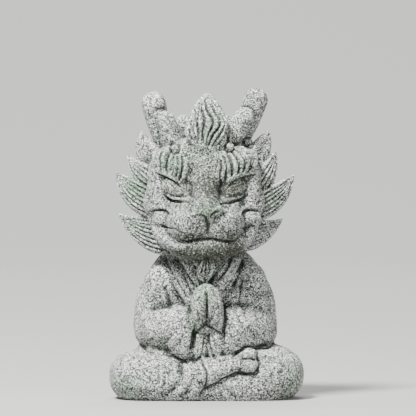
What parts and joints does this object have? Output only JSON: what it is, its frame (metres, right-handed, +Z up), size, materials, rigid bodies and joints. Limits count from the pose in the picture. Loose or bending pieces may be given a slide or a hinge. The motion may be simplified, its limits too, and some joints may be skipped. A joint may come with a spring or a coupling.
{
  "type": "stone tea pet figure of a praying dragon",
  "caption": "Small cast-stone figure of a dragon in a monk's robe, seated cross-legged with palms together, that stands on its flat underside.",
  "frame": {"origin": "middle of the flat underside, below the seat's centre line", "axes": "+Z up, from the underside to the horns; the figure faces -Y; +X is its left-hand side, the right of the picture"},
  "size_m": [0.0971, 0.0743, 0.1551],
  "materials": {
    "stone": "matte, speckled like granite, with a little moss green in the hollows"
  },
  "bodies": {
    "root": {"dragon_figure": "stone"}
  },
  "joints": []
}
